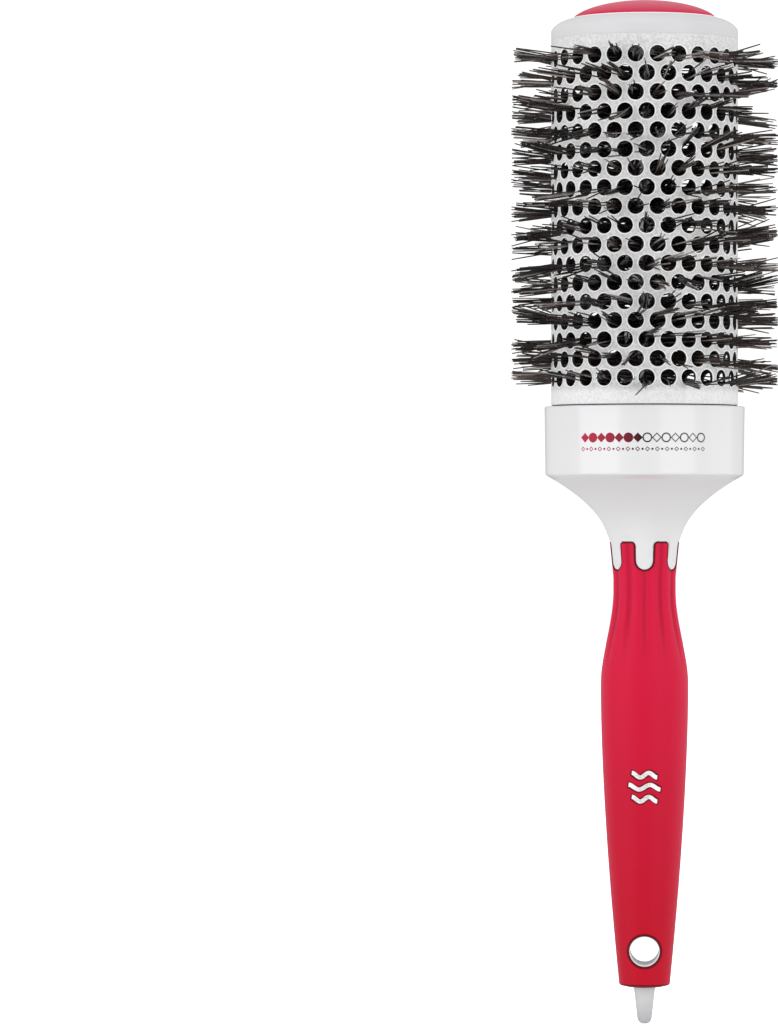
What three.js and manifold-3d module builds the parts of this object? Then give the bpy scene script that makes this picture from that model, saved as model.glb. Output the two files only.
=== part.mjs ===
// Thermal round brush: a perforated barrel on a two-shot handle, with nylon filaments on a twisted wire stem.
//
// Millimetres, +Z up. The brush stands on its axis with the tail tip at z = 0 and the dome at the top.
// The front, where the hang hole opens, is -Y. Angles round the axis run from the front towards +X.
//
// Pieces: handle_core, grip, barrel, end_cap, cap_dome, stem_wire_a, stem_wire_b and one bristle_row
// for each row of vents. Pieces that touch on the real brush stand FIT_GAP apart.

import * as THREE from "three";
import { mergeVertices } from "three/addons/utils/BufferGeometryUtils.js";
import Module from "manifold-3d";

const wasm = await Module();
wasm.setup();

// ---- Driving dimensions ----

const FIT_GAP = 0.3;
const ROUND_SEGMENTS = 24;

// Barrel: a ceramic coated aluminium tube with staggered rows of vents.
const BARREL_RADIUS = 25;
const BARREL_WALL = 1;
const BARREL_BOTTOM_Z = 157;
const BARREL_TOP_Z = 262.7;
const VENT_ROWS = 18;
const VENTS_PER_ROW = 27;
const VENT_ROW_PITCH = 5.01;
const LOWEST_VENT_Z = 172.35;
const TOP_ROW_ANGLE = THREE.MathUtils.degToRad(8); // first vent of the top row
const VENT_WIDTH = 2.6; // a round vent 4.1 across is cut here as an upright slot in one flat of the tube
const VENT_HEIGHT = 4.1;
const VENT_CUTTER_DEPTH = 4; // through the wall with room on both sides
const VENT_STEP = (2 * Math.PI) / VENTS_PER_ROW;

// Filaments and the twisted wire that holds them.
const BRISTLE_RADIUS = 36;
const BRISTLE_ROW_THICKNESS = 1.2;
const BRISTLE_ROOT_RADIUS = 4.2;
const BRISTLE_EYE_RADIUS = 2.8;
const BRISTLE_EYE_SIDES = 6;
const WIRE_RADIUS = 0.95;
const WIRE_HELIX_RADIUS = 1.1;
const WIRE_TWIST_PITCH = 16;
const WIRE_BOTTOM_Z = 134;
const WIRE_TOP_Z = 264;
const WIRE_SIDES = 5;
const WIRE_STEPS_PER_TURN = 6;
const WIRE_SOCKET_RADIUS = 2.75;
const WIRE_BOSS_RADIUS = 4.8;

// Handle outline: tail tip, tapered grip, neck, trumpet and collar.
const TIP_FLAT_RADIUS = 1.26;
const TIP_END_RADIUS = 2.1;
const TIP_ROOT_RADIUS = 2.85;
const TIP_ROUNDING = 1.5;
const GRIP_BOTTOM_Z = 9.8;
const GRIP_EDGE_ROUNDING = 0.5;
const GRIP_SKIN = 2;
const SWELL_RADIUS = 11.7;
const SWELL_Z = 88;
const TAPER_RATE = 0.0048;
const TAPER_POWER = 1.594;
const SHOULDER_Z = 91.1;
const NECK_RADIUS = 8.5;
const NECK_BOTTOM_Z = 115.9;
const NECK_TOP_Z = 119.4;
const FLARE_SLOPE = 0.1;
const TRUMPET_BOTTOM_Z = 128;
const TRUMPET_RATE = 0.0323;
const TRUMPET_POWER = 2.1;
const TRUMPET_TOP_Z = 145.6;
const COLLAR_BOTTOM_RADIUS = 26.5;
const COLLAR_TOP_RADIUS = 26.76;
const COLLAR_BOTTOM_Z = 146.9;
const COLLAR_TOP_Z = 165.1;
const COLLAR_EDGE_ROUNDING = 0.3;
const SPIGOT_TOP_Z = 168;
const SPIGOT_WALL = 2;
const SOCKET_FLOOR_Z = 152;
const SOCKET_CENTRE_Z = 142;
const BOSS_TOP_Z = 160;
const STEM_STEPS = 8;
const STEM_BOTTOM_Z = GRIP_BOTTOM_Z + GRIP_SKIN + FIT_GAP;
const TRUMPET_STEPS = 6;

// White fingers of the core that reach down between the tabs of the grip.
const FINGER_COUNT = 6;
const FINGER_HALF_WIDTH = 2.4;
const FINGER_BOTTOM_Z = 121.5;
const TAB_TOP_Z = 129;
const TAB_CORNER_ROUNDING = 1.1;
const SLOT_OVERRUN = 1;
const SLOT_ARC_STEPS = 4;

// Hang hole through the tail of the handle, front to back, lined by the core.
const HANG_HOLE_Z = 19.85;
const HANG_HOLE_RADIUS = 3.8;
const HANG_BOSS_RADIUS = 4.4;
const HANG_HOLE_SIDES = 16;
const CROSS_CUT_LENGTH = 46;

// End cap and its dome.
const CAP_PLUG_BOTTOM_Z = 260.4;
const CAP_FLOOR_Z = 266;
const CAP_SHOULDER_Z = 265.6;
const CAP_RIM_Z = 268.9;
const CAP_BOSS_BOTTOM_Z = 259;
const CAP_SHOULDER_BULGE = 1.7;
const CAP_SHOULDER_STEPS = 4;
const DOME_RADIUS = 19.1;
const DOME_TOP_Z = 273.7;
const DOME_FULLNESS = 0.66; // 0.5 is an ellipse, 1 a parabola
const DOME_STEPS = 5;

// ---- Materials ----

const whitePlastic = new THREE.MeshStandardMaterial({ color: 0xe4e4e4, roughness: 0.25, metalness: 0 });
const whiteCeramic = new THREE.MeshStandardMaterial({ color: 0xdcdcdc, roughness: 0.45, metalness: 0.1 });
const redRubber = new THREE.MeshStandardMaterial({ color: 0xd2203f, roughness: 0.6, metalness: 0 });
const redDome = new THREE.MeshStandardMaterial({ color: 0xe04a6a, roughness: 0.5, metalness: 0 });
const blackNylon = new THREE.MeshStandardMaterial({ color: 0x1c1a1a, roughness: 0.45, metalness: 0 });
const steel = new THREE.MeshStandardMaterial({ color: 0x9a9a9c, roughness: 0.35, metalness: 1 });

// ---- Helpers ----

const brush = new THREE.Group();

function addPiece(name, geometry, material) {
  const mesh = new THREE.Mesh(geometry, material);
  mesh.name = name;
  brush.add(mesh);
  return mesh;
}

// A closed three.js geometry as a manifold-3d solid, for joining and cutting.
function toSolid(geometry) {
  const bare = geometry.clone();
  bare.deleteAttribute("normal");
  bare.deleteAttribute("uv");
  const merged = mergeVertices(bare, 1e-4);
  return new wasm.Manifold(
    new wasm.Mesh({
      numProp: 3,
      vertProperties: new Float32Array(merged.attributes.position.array),
      triVerts: new Uint32Array(merged.index.array),
    }),
  );
}

function toGeometry(solid) {
  const mesh = solid.getMesh();
  const geometry = new THREE.BufferGeometry();
  geometry.setAttribute("position", new THREE.BufferAttribute(mesh.vertProperties, 3));
  geometry.setIndex(new THREE.BufferAttribute(mesh.triVerts, 1));
  return geometry;
}

// A solid of revolution round Z. The profile is a list of [radius, z], anticlockwise round the material.
function lathe(profile, segments = ROUND_SEGMENTS) {
  const points = profile.map(([radius, z]) => new THREE.Vector2(radius, z));
  return new THREE.LatheGeometry(points, segments).rotateX(Math.PI / 2);
}

// Outer radius of the finished handle, grip and trumpet alike, at height z.
function handleRadius(z) {
  if (z >= NECK_TOP_Z) {
    const flare = FLARE_SLOPE * (z - NECK_TOP_Z);
    return NECK_RADIUS + flare + TRUMPET_RATE * Math.max(z - TRUMPET_BOTTOM_Z, 0) ** TRUMPET_POWER;
  }
  if (z >= SWELL_Z) {
    const narrowing = THREE.MathUtils.smoothstep(z, SHOULDER_Z, NECK_BOTTOM_Z);
    return THREE.MathUtils.lerp(SWELL_RADIUS, NECK_RADIUS, narrowing);
  }
  return SWELL_RADIUS - TAPER_RATE * (SWELL_Z - z) ** TAPER_POWER;
}

// Profile points that follow the handle's outline, moved inwards by inset.
function followHandle(bottom, top, steps, inset) {
  return Array.from({ length: steps + 1 }, (_, i) => {
    const z = THREE.MathUtils.lerp(bottom, top, i / steps);
    return [handleRadius(z) - inset, z];
  });
}

// A cylinder through the handle from front to back, with a flat at its lowest point.
function crossCylinder(radius) {
  const cylinder = new THREE.CylinderGeometry(radius, radius, CROSS_CUT_LENGTH, HANG_HOLE_SIDES);
  cylinder.rotateY(Math.PI / HANG_HOLE_SIDES);
  cylinder.translate(0, 0, HANG_HOLE_Z);
  return toSolid(cylinder);
}

// The slots between the grip's tabs: U-shaped prisms that point outwards, grown all round by clearance.
function fingerSlots(clearance) {
  const half = FINGER_HALF_WIDTH + clearance;
  const top = TAB_TOP_Z + SLOT_OVERRUN;
  const rounding = TAB_CORNER_ROUNDING;
  const outline = new THREE.Shape();
  outline.moveTo(half + rounding, TAB_TOP_Z);
  outline.lineTo(half + rounding, top);
  outline.lineTo(-half - rounding, top);
  outline.lineTo(-half - rounding, TAB_TOP_Z);
  outline.absarc(-half - rounding, TAB_TOP_Z - rounding, rounding, Math.PI / 2, 0, true);
  outline.absarc(0, FINGER_BOTTOM_Z + FINGER_HALF_WIDTH, half, Math.PI, 2 * Math.PI, false);
  outline.absarc(half + rounding, TAB_TOP_Z - rounding, rounding, Math.PI, Math.PI / 2, true);
  const prism = new THREE.ExtrudeGeometry(outline, {
    depth: 2 * NECK_RADIUS,
    bevelEnabled: false,
    curveSegments: SLOT_ARC_STEPS,
  });
  prism.rotateX(Math.PI / 2);
  const slots = Array.from({ length: FINGER_COUNT }, (_, i) =>
    toSolid(prism.clone().rotateZ((i * 2 * Math.PI) / FINGER_COUNT)),
  );
  return slots.reduce((joined, slot) => joined.add(slot));
}

// ---- Pieces ----

function handleCore() {
  const grooveOuter = BARREL_RADIUS + FIT_GAP;
  const grooveInner = BARREL_RADIUS - BARREL_WALL - FIT_GAP;
  const grooveFloor = BARREL_BOTTOM_Z - FIT_GAP;
  const cavity = grooveInner - SPIGOT_WALL;
  const body = toSolid(
    lathe([
      [0, 0],
      [TIP_FLAT_RADIUS, 0],
      [TIP_END_RADIUS, TIP_ROUNDING],
      [TIP_ROOT_RADIUS, GRIP_BOTTOM_Z],
      [TIP_ROOT_RADIUS, STEM_BOTTOM_Z],
      ...followHandle(STEM_BOTTOM_Z, TAB_TOP_Z, STEM_STEPS, GRIP_SKIN + FIT_GAP),
      ...followHandle(TAB_TOP_Z, TRUMPET_TOP_Z, TRUMPET_STEPS, 0),
      [COLLAR_BOTTOM_RADIUS, COLLAR_BOTTOM_Z],
      [COLLAR_TOP_RADIUS, COLLAR_TOP_Z - COLLAR_EDGE_ROUNDING],
      [COLLAR_TOP_RADIUS - COLLAR_EDGE_ROUNDING, COLLAR_TOP_Z],
      [grooveOuter, COLLAR_TOP_Z],
      [grooveOuter, grooveFloor],
      [grooveInner, grooveFloor],
      [grooveInner, SPIGOT_TOP_Z],
      [cavity, SPIGOT_TOP_Z],
      [cavity, SOCKET_FLOOR_Z],
      [WIRE_BOSS_RADIUS, SOCKET_CENTRE_Z],
      [WIRE_BOSS_RADIUS, BOSS_TOP_Z],
      [WIRE_SOCKET_RADIUS, BOSS_TOP_Z],
      [WIRE_SOCKET_RADIUS, WIRE_BOTTOM_Z - FIT_GAP],
      [0, WIRE_BOTTOM_Z - FIT_GAP],
    ]),
  );
  const skin = toSolid(
    lathe([
      [0, GRIP_BOTTOM_Z],
      ...followHandle(GRIP_BOTTOM_Z, TAB_TOP_Z, 2 * STEM_STEPS, 0),
      [0, TAB_TOP_Z],
    ]),
  );
  const fingers = skin.intersect(fingerSlots(0));
  const liner = skin.intersect(crossCylinder(HANG_BOSS_RADIUS));
  return toGeometry(body.add(fingers).add(liner).subtract(crossCylinder(HANG_HOLE_RADIUS)));
}

function grip() {
  const top = TAB_TOP_Z - FIT_GAP;
  const floor = GRIP_BOTTOM_Z + GRIP_SKIN;
  const sleeve = toSolid(
    lathe([
      [TIP_ROOT_RADIUS + FIT_GAP, GRIP_BOTTOM_Z],
      [handleRadius(GRIP_BOTTOM_Z) - GRIP_EDGE_ROUNDING, GRIP_BOTTOM_Z],
      ...followHandle(GRIP_BOTTOM_Z + GRIP_EDGE_ROUNDING, top, 2 * STEM_STEPS, 0),
      ...followHandle(STEM_BOTTOM_Z, TAB_TOP_Z, STEM_STEPS, GRIP_SKIN)
        .map(([radius, z]) => [radius, z - FIT_GAP])
        .reverse(),
      [TIP_ROOT_RADIUS + FIT_GAP, floor],
      [TIP_ROOT_RADIUS + FIT_GAP, GRIP_BOTTOM_Z],
    ]),
  );
  const linerHole = crossCylinder(HANG_BOSS_RADIUS + FIT_GAP);
  return toGeometry(sleeve.subtract(fingerSlots(FIT_GAP)).subtract(linerHole));
}

// Angle of the first vent in a row. Rows are staggered by half a step, and row 0 is the lowest.
function rowAngle(row) {
  const rowsBelowTop = VENT_ROWS - 1 - row;
  return TOP_ROW_ANGLE - (rowsBelowTop % 2) * (VENT_STEP / 2);
}

function rowHeight(row) {
  return LOWEST_VENT_Z + row * VENT_ROW_PITCH;
}

function barrel() {
  const inner = BARREL_RADIUS - BARREL_WALL;
  const flats = 2 * VENTS_PER_ROW;
  const tube = lathe(
    [
      [inner, BARREL_BOTTOM_Z],
      [BARREL_RADIUS, BARREL_BOTTOM_Z],
      [BARREL_RADIUS, BARREL_TOP_Z],
      [inner, BARREL_TOP_Z],
      [inner, BARREL_BOTTOM_Z],
    ],
    flats,
  );
  tube.rotateZ(TOP_ROW_ANGLE - Math.PI / flats);
  const cutter = new THREE.BoxGeometry(VENT_WIDTH, VENT_CUTTER_DEPTH, VENT_HEIGHT);
  cutter.translate(0, -BARREL_RADIUS, 0);
  const vents = [];
  for (let row = 0; row < VENT_ROWS; row++) {
    for (let i = 0; i < VENTS_PER_ROW; i++) {
      const vent = cutter.clone().rotateZ(rowAngle(row) + i * VENT_STEP);
      vents.push(toSolid(vent.translate(0, 0, rowHeight(row))));
    }
  }
  return toGeometry(toSolid(tube).subtract(wasm.Manifold.union(vents)));
}

// The filaments that leave through one row of vents, as a star with one ray for each vent.
function bristleRow(row) {
  const outline = new THREE.Shape();
  for (let i = 0; i < VENTS_PER_ROW; i++) {
    const ray = rowAngle(row) + i * VENT_STEP - Math.PI / 2;
    const valley = ray + VENT_STEP / 2;
    const tip = [BRISTLE_RADIUS * Math.cos(ray), BRISTLE_RADIUS * Math.sin(ray)];
    if (i === 0) outline.moveTo(...tip);
    else outline.lineTo(...tip);
    outline.lineTo(BRISTLE_ROOT_RADIUS * Math.cos(valley), BRISTLE_ROOT_RADIUS * Math.sin(valley));
  }
  outline.closePath();
  const eye = new THREE.Path();
  for (let i = 0; i < BRISTLE_EYE_SIDES; i++) {
    const angle = (-i * 2 * Math.PI) / BRISTLE_EYE_SIDES;
    const point = [BRISTLE_EYE_RADIUS * Math.cos(angle), BRISTLE_EYE_RADIUS * Math.sin(angle)];
    if (i === 0) eye.moveTo(...point);
    else eye.lineTo(...point);
  }
  eye.closePath();
  outline.holes.push(eye);
  const star = new THREE.ExtrudeGeometry(outline, { depth: BRISTLE_ROW_THICKNESS, bevelEnabled: false });
  return star.translate(0, 0, rowHeight(row) - BRISTLE_ROW_THICKNESS / 2);
}

class Helix extends THREE.Curve {
  getPoint(t, target = new THREE.Vector3()) {
    const climb = t * (WIRE_TOP_Z - WIRE_BOTTOM_Z);
    const angle = (climb / WIRE_TWIST_PITCH) * 2 * Math.PI;
    return target.set(
      WIRE_HELIX_RADIUS * Math.cos(angle),
      WIRE_HELIX_RADIUS * Math.sin(angle),
      WIRE_BOTTOM_Z + climb,
    );
  }
}

function stemWire() {
  const section = new THREE.Shape(
    Array.from({ length: WIRE_SIDES }, (_, i) => {
      const angle = (i * 2 * Math.PI) / WIRE_SIDES;
      return new THREE.Vector2(WIRE_RADIUS * Math.cos(angle), WIRE_RADIUS * Math.sin(angle));
    }),
  );
  const turns = (WIRE_TOP_Z - WIRE_BOTTOM_Z) / WIRE_TWIST_PITCH;
  return new THREE.ExtrudeGeometry(section, {
    steps: Math.round(turns * WIRE_STEPS_PER_TURN),
    extrudePath: new Helix(),
    bevelEnabled: false,
  });
}

// The cap's rounded shoulder, from the barrel's radius up to the rim round the dome.
function capShoulder() {
  const rimRadius = DOME_RADIUS + FIT_GAP;
  const curve = new THREE.CubicBezierCurve(
    new THREE.Vector2(BARREL_RADIUS, CAP_SHOULDER_Z),
    new THREE.Vector2(BARREL_RADIUS, CAP_SHOULDER_Z + CAP_SHOULDER_BULGE),
    new THREE.Vector2(BARREL_RADIUS - CAP_SHOULDER_BULGE, CAP_RIM_Z - CAP_SHOULDER_BULGE),
    new THREE.Vector2(rimRadius, CAP_RIM_Z),
  );
  return curve.getPoints(CAP_SHOULDER_STEPS).map((point) => [point.x, point.y]);
}

function endCap() {
  const plugRadius = BARREL_RADIUS - BARREL_WALL - FIT_GAP;
  const seam = BARREL_TOP_Z + FIT_GAP;
  return lathe([
    [0, WIRE_TOP_Z + FIT_GAP],
    [WIRE_SOCKET_RADIUS, WIRE_TOP_Z + FIT_GAP],
    [WIRE_SOCKET_RADIUS, CAP_BOSS_BOTTOM_Z],
    [WIRE_BOSS_RADIUS, CAP_BOSS_BOTTOM_Z],
    [WIRE_BOSS_RADIUS, CAP_PLUG_BOTTOM_Z],
    [plugRadius, CAP_PLUG_BOTTOM_Z],
    [plugRadius, seam],
    [BARREL_RADIUS, seam],
    ...capShoulder(),
    [DOME_RADIUS + FIT_GAP, CAP_FLOOR_Z],
    [0, CAP_FLOOR_Z],
  ]);
}

// The crown steps evenly round a quarter turn, from the rim to the peak.
function capDome() {
  const crown = Array.from({ length: DOME_STEPS }, (_, i) => {
    const share = Math.cos((i / DOME_STEPS) * (Math.PI / 2));
    const rise = (1 - share ** 2) ** DOME_FULLNESS;
    return [DOME_RADIUS * share, THREE.MathUtils.lerp(CAP_RIM_Z, DOME_TOP_Z, rise)];
  });
  return lathe([[0, CAP_FLOOR_Z + FIT_GAP], [DOME_RADIUS, CAP_FLOOR_Z + FIT_GAP], ...crown, [0, DOME_TOP_Z]]);
}

// ---- Assembly ----

addPiece("handle_core", handleCore(), whitePlastic);
addPiece("grip", grip(), redRubber);
addPiece("barrel", barrel(), whiteCeramic);
addPiece("end_cap", endCap(), whitePlastic);
addPiece("cap_dome", capDome(), redDome);
addPiece("stem_wire_a", stemWire(), steel);
addPiece("stem_wire_b", stemWire(), steel).rotation.z = Math.PI;
for (let row = 0; row < VENT_ROWS; row++) {
  const number = String(row + 1).padStart(2, "0");
  addPiece(`bristle_row_${number}`, bristleRow(row), blackNylon);
}

export default brush;
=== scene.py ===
"""Looks for the thermal round brush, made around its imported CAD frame.

Shapes are worked out in millimetres from the frame's boxes, and make_piece() turns them into metres.
+Z runs from the tail tip to the dome and -Y is the front. Angles run from the front towards +X.
"""

import math

import bmesh
import bpy
import numpy as np
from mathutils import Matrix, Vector


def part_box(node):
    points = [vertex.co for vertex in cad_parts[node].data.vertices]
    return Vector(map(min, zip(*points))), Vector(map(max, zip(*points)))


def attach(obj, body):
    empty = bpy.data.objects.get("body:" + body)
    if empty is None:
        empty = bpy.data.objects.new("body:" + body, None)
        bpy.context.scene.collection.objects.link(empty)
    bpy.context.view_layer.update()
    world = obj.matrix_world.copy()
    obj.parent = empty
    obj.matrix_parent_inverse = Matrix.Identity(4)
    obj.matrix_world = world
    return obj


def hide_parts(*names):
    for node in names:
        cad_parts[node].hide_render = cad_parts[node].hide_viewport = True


MM = 0.001
TURN = 2 * math.pi
BODY = "root"

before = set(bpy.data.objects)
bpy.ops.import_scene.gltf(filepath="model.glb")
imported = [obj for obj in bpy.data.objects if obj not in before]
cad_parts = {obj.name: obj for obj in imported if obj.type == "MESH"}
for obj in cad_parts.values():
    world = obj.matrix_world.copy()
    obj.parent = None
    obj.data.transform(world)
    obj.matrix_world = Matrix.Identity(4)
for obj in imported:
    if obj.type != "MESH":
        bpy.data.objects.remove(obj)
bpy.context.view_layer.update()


def low(node):
    """The lowest corner of a CAD node's box, in millimetres."""
    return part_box(node)[0] / MM


def high(node):
    """The highest corner of a CAD node's box, in millimetres."""
    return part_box(node)[1] / MM


# ---- Dimensions, in millimetres ----

BARREL_RADIUS = high("barrel").x
BARREL_WALL = 1.0
BARREL_INSIDE = BARREL_RADIUS - BARREL_WALL
VENT_RADIUS = 2.17
VENTS = 27  # in each row
VENT_STEP = TURN / VENTS
ROW_NODES = sorted(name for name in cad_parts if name.startswith("bristle_row"))
ROW_HEIGHTS = [(low(name).z + high(name).z) / 2 for name in ROW_NODES]
ROW_PITCH = ROW_HEIGHTS[1] - ROW_HEIGHTS[0]
BRISTLE_RADIUS = high(ROW_NODES[0]).x

COLLAR_HEIGHT = 18.2
COLLAR_DRAFT = 0.26  # how much narrower it is at its bottom
BARREL_SOCKET = 8.1  # how far the barrel reaches into the collar
TRUMPET_DROP = 1.3  # from the collar's bottom to the trumpet's top
COLLAR_TOP_RADIUS = high("handle_core").x
COLLAR_BOTTOM_RADIUS = COLLAR_TOP_RADIUS - COLLAR_DRAFT
COLLAR_TOP_Z = low("barrel").z + BARREL_SOCKET
COLLAR_BOTTOM_Z = COLLAR_TOP_Z - COLLAR_HEIGHT
TRUMPET_TOP_Z = COLLAR_BOTTOM_Z - TRUMPET_DROP

# The handle's outline: a tapered grip, a swell, a neck and a trumpet.
GRIP_BOTTOM_Z = low("grip").z
SWELL_RADIUS = 11.7
SWELL_Z = 88.0
TAPER_RATE = 0.0048
TAPER_POWER = 1.594
SHOULDER_Z = 91.1
NECK_RADIUS = 8.5
NECK_BOTTOM_Z = 115.9
NECK_TOP_Z = 119.4
FLARE_SLOPE = 0.1
TRUMPET_BOTTOM_Z = 128.0
TRUMPET_RATE = 0.0323
TRUMPET_POWER = 2.1
GRIP_SKIN = 2.0

# The seam between the grip's tabs and the core's fingers.
FINGERS = 6
SEAM_RADIUS = 8.9
FINGER_HALF_WIDTH = 2.43
FINGER_BOTTOM_Z = 121.5
TAB_TOP_Z = 129.0
TAB_CORNER = 1.1
SEAM_GAP = 0.04
FINGER_DROP = 0.2  # how far the fingers lie below the tabs' skin

# The hang hole's height, and the radii of its bore, its liner and the opening in the grip.
HANG_Z = 19.85
HANG_BORE = 3.78
HANG_LINER = 4.05
HANG_OPENING = 4.1

# The radii of the hole for the wire stem and of the boss round it.
STEM_BORE = 2.7
STEM_BOSS = 4.8
DOME_RADIUS = high("cap_dome").x
DOME_TOP_Z = high("cap_dome").z
DOME_FULLNESS = 0.66
CAP_RIM_Z = high("end_cap").z
CAP_PLUG_HEIGHT = 4.0
CAP_SEAM_Z = low("end_cap").z + CAP_PLUG_HEIGHT

# The printed band on the collar, measured round it from the front.
PRINT_HALF_WIDTH = 17.5
PRINT_MIDDLE = -0.5


# ---- Mesh building ----

LATHE_SEGMENTS = 180


def even_angles(count):
    """Angles spread evenly over one turn, from 0."""
    return np.arange(count) * TURN / count


def polar(radius, angle, height):
    """Points at a radius and an angle round the brush's axis."""
    radius, angle, height = np.broadcast_arrays(radius, angle, height)
    return np.stack([radius * np.sin(angle), -radius * np.cos(angle), height], axis=-1)


class Builder:
    """Collects loops of points and the faces between them."""

    def __init__(self):
        self.points = []
        self.marks = []
        self.faces = []
        self.materials = []
        self.count = 0

    def loop(self, points, mark=0.0):
        """Adds points and returns their numbers. Their mark is a value from 0 to 1 for the material."""
        self.points.append(np.asarray(points, float))
        self.marks.append(np.full(len(points), mark))
        numbers = np.arange(self.count, self.count + len(points))
        self.count += len(points)
        return numbers

    def bridge(self, a, b, material=0, keep=None):
        """Quads between two loops of the same length. keep says which of them are made."""
        n = len(a)
        for i in range(n):
            if keep is None or keep[i]:
                j = (i + 1) % n
                self.face([a[i], a[j], b[j], b[i]], material)

    def extend(self, last, points, mark=0.0, material=0):
        """Adds a loop of points, bridges the last loop to it and returns it."""
        ring = self.loop(points, mark)
        self.bridge(last, ring, material)
        return ring

    def face(self, corners, material=0):
        """Adds one face with the given points as its corners."""
        self.faces.append([int(c) for c in corners])
        self.materials.append(material)

    def loft(self, rings, material=0, mark=0.0, join=False, cap_start=False, cap_end=False):
        """Bridges rings of points in turn. join closes the last onto the first."""
        loops = [self.loop(ring, mark) for ring in rings]
        for a, b in zip(loops, loops[1:]):
            self.bridge(a, b, material=material)
        if join:
            self.bridge(loops[-1], loops[0], material=material)
        if cap_start:
            self.face(loops[0][::-1], material)
        if cap_end:
            self.face(loops[-1], material)
        return loops


def add_object(name, data, place=(0, 0, 0), turn=(0, 0, 0)):
    """Puts an object in the scene and returns it."""
    made = bpy.data.objects.new(name, data)
    made.location = place
    made.rotation_euler = turn
    bpy.context.scene.collection.objects.link(made)
    return made


def make_piece(name, builder, materials, replaces=(), smooth_angle=35):
    """Turns a builder's faces into a piece that rides on the brush."""
    mesh = bpy.data.meshes.new(name)
    mesh.from_pydata((np.concatenate(builder.points) * MM).tolist(), [], builder.faces)
    for material in materials:
        mesh.materials.append(material)
    mesh.polygons.foreach_set("material_index", builder.materials)
    marks = mesh.attributes.new("mark", "FLOAT", "POINT")
    marks.data.foreach_set("value", np.concatenate(builder.marks).astype(np.float32))
    shape = bmesh.new()
    shape.from_mesh(mesh)
    bmesh.ops.remove_doubles(shape, verts=shape.verts, dist=1e-7)
    bmesh.ops.recalc_face_normals(shape, faces=shape.faces)
    sharp = math.radians(smooth_angle)
    for face in shape.faces:
        face.smooth = True
    for edge in shape.edges:
        edge.smooth = edge.calc_face_angle(0) < sharp
    shape.to_mesh(mesh)
    shape.free()
    piece = add_object(name, mesh)
    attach(piece, BODY)
    if replaces:
        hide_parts(*replaces)


def lathe_rings(profile, segments=LATHE_SEGMENTS):
    """Rings of points round the axis, one for each (radius, height) of the profile."""
    angles = even_angles(segments)
    return [polar(radius, angles, height) for radius, height in profile]


def arc(centre, radius, start, end, steps):
    """Points on an arc in a plane. Angles are in degrees."""
    angles = np.radians(np.linspace(start, end, steps + 1))
    return [(centre[0] + radius * math.cos(a), centre[1] + radius * math.sin(a)) for a in angles]


def rounded_corner(corner, across, up, power, steps):
    """Points round a corner, from corner + up to corner + across. Power 1 is a chamfer, 2 an ellipse."""
    angles = np.linspace(0, math.pi / 2, steps + 1)
    shares = 1 - np.abs(np.stack([np.cos(angles), np.sin(angles)], axis=1)) ** (2 / power)
    return [(corner[0] + across * a, corner[1] + up * u) for a, u in shares]


def smoothstep(x, start, end):
    """0 up to start, 1 from end on and a smooth rise between them."""
    t = np.clip((np.asarray(x, float) - start) / (end - start), 0, 1)
    return t * t * (3 - 2 * t)


# ---- Materials ----


class Tree:
    """A node tree to build on."""

    def __init__(self, owner):
        owner.use_nodes = True
        self.nodes = owner.node_tree.nodes
        self.links = owner.node_tree.links

    def node(self, kind, inputs=(), **settings):
        """Adds a shader node, with values for its inputs and settings, and returns it."""
        made = self.nodes.new("ShaderNode" + kind)
        for key, value in settings.items():
            setattr(made, key, value)
        for key, value in dict(inputs).items():
            made.inputs[key].default_value = value
        return made

    def link(self, source, target):
        """Plugs one socket into another."""
        self.links.new(source, target)

    def stretch(self, value, start, end, least=0, most=1, kind="LINEAR"):
        """Runs from least to most as value goes from start to end."""
        limits = {"From Min": start, "From Max": end, "To Min": least, "To Max": most}
        stretched = self.node("MapRange", limits, interpolation_type=kind)
        self.link(value, stretched.inputs["Value"])
        return stretched.outputs["Result"]


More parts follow.
